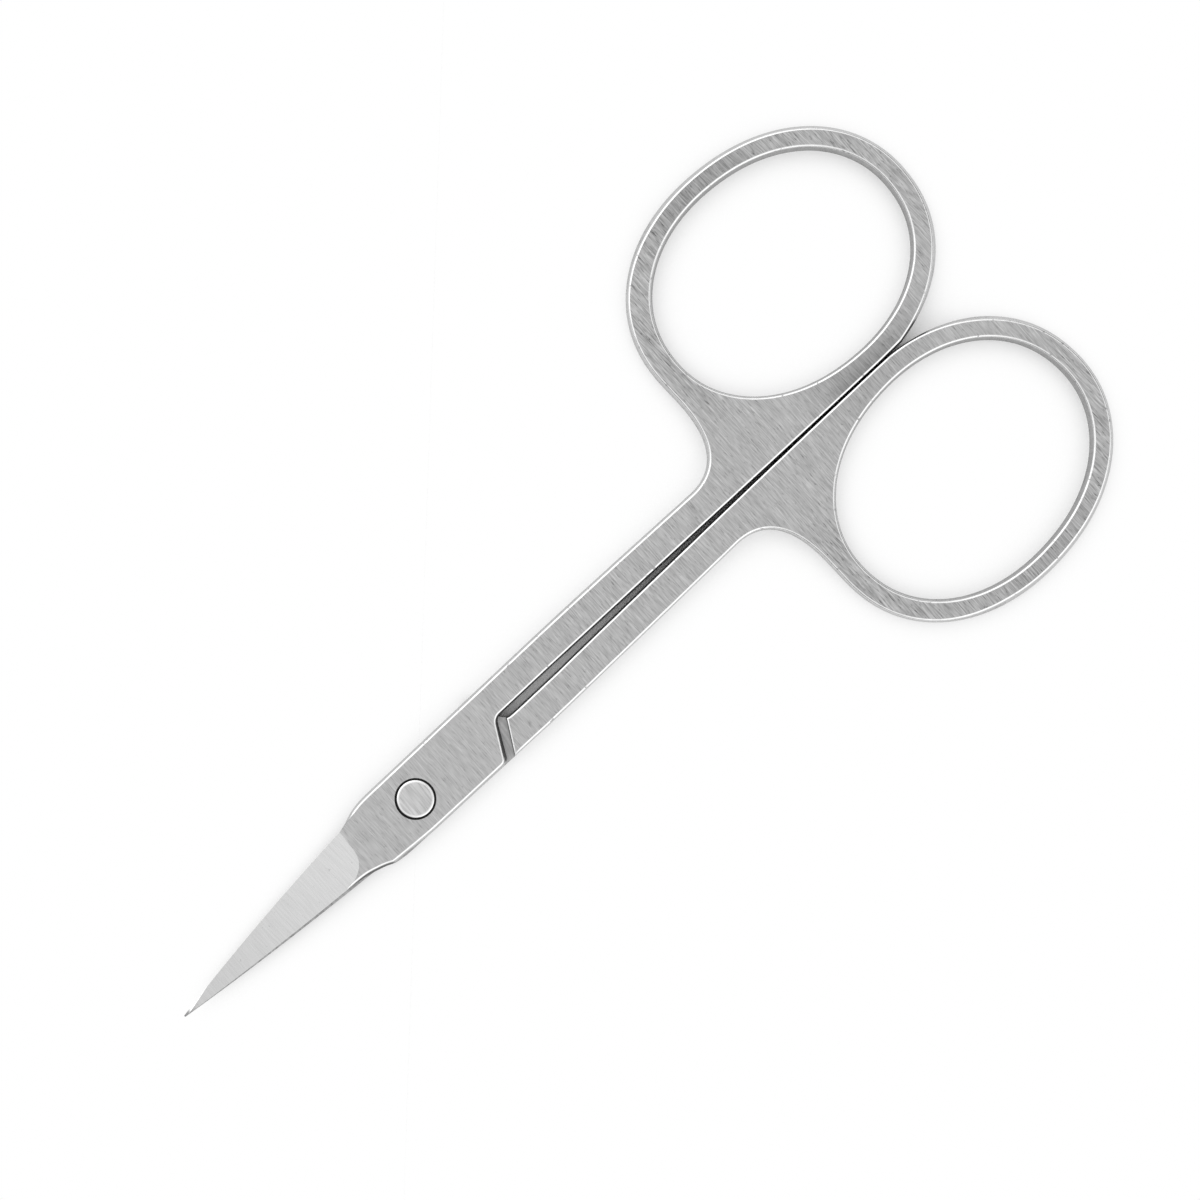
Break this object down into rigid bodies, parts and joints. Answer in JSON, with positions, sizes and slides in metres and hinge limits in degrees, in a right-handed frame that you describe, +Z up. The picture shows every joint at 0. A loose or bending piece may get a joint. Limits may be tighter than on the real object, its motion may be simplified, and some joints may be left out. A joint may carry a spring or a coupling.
{
  "type": "nail scissors",
  "caption": "Slim flat nail scissors in brushed steel: half-lapped pointed blades on a flush rivet, straight shanks and closed oval finger rings.",
  "frame": {"origin": "on the rivet's axis, on the plane that the closed scissors lie on", "axes": "+X along the closed scissors from the pivot to the finger rings, +Y to the upper half's ring, +Z up along the rivet"},
  "size_m": [0.0904, 0.0438, 0.0024],
  "materials": {
    "brushed_steel": "brushed across the length, with rounded polished edges and a finer ground blade bevel",
    "rivet_steel": "peened and brushed flush"
  },
  "bodies": {
    "lower": {"lower_half": "brushed_steel", "pivot_rivet": "rivet_steel"},
    "upper": {"upper_half": "brushed_steel"}
  },
  "joints": [
    {"name": "pivot_hinge", "type": "hinge", "parent": "lower", "child": "upper", "pos_m": [0, 0, 0.0012], "axis": [0, 0, 1], "range_deg": [0, 145]}
  ]
}
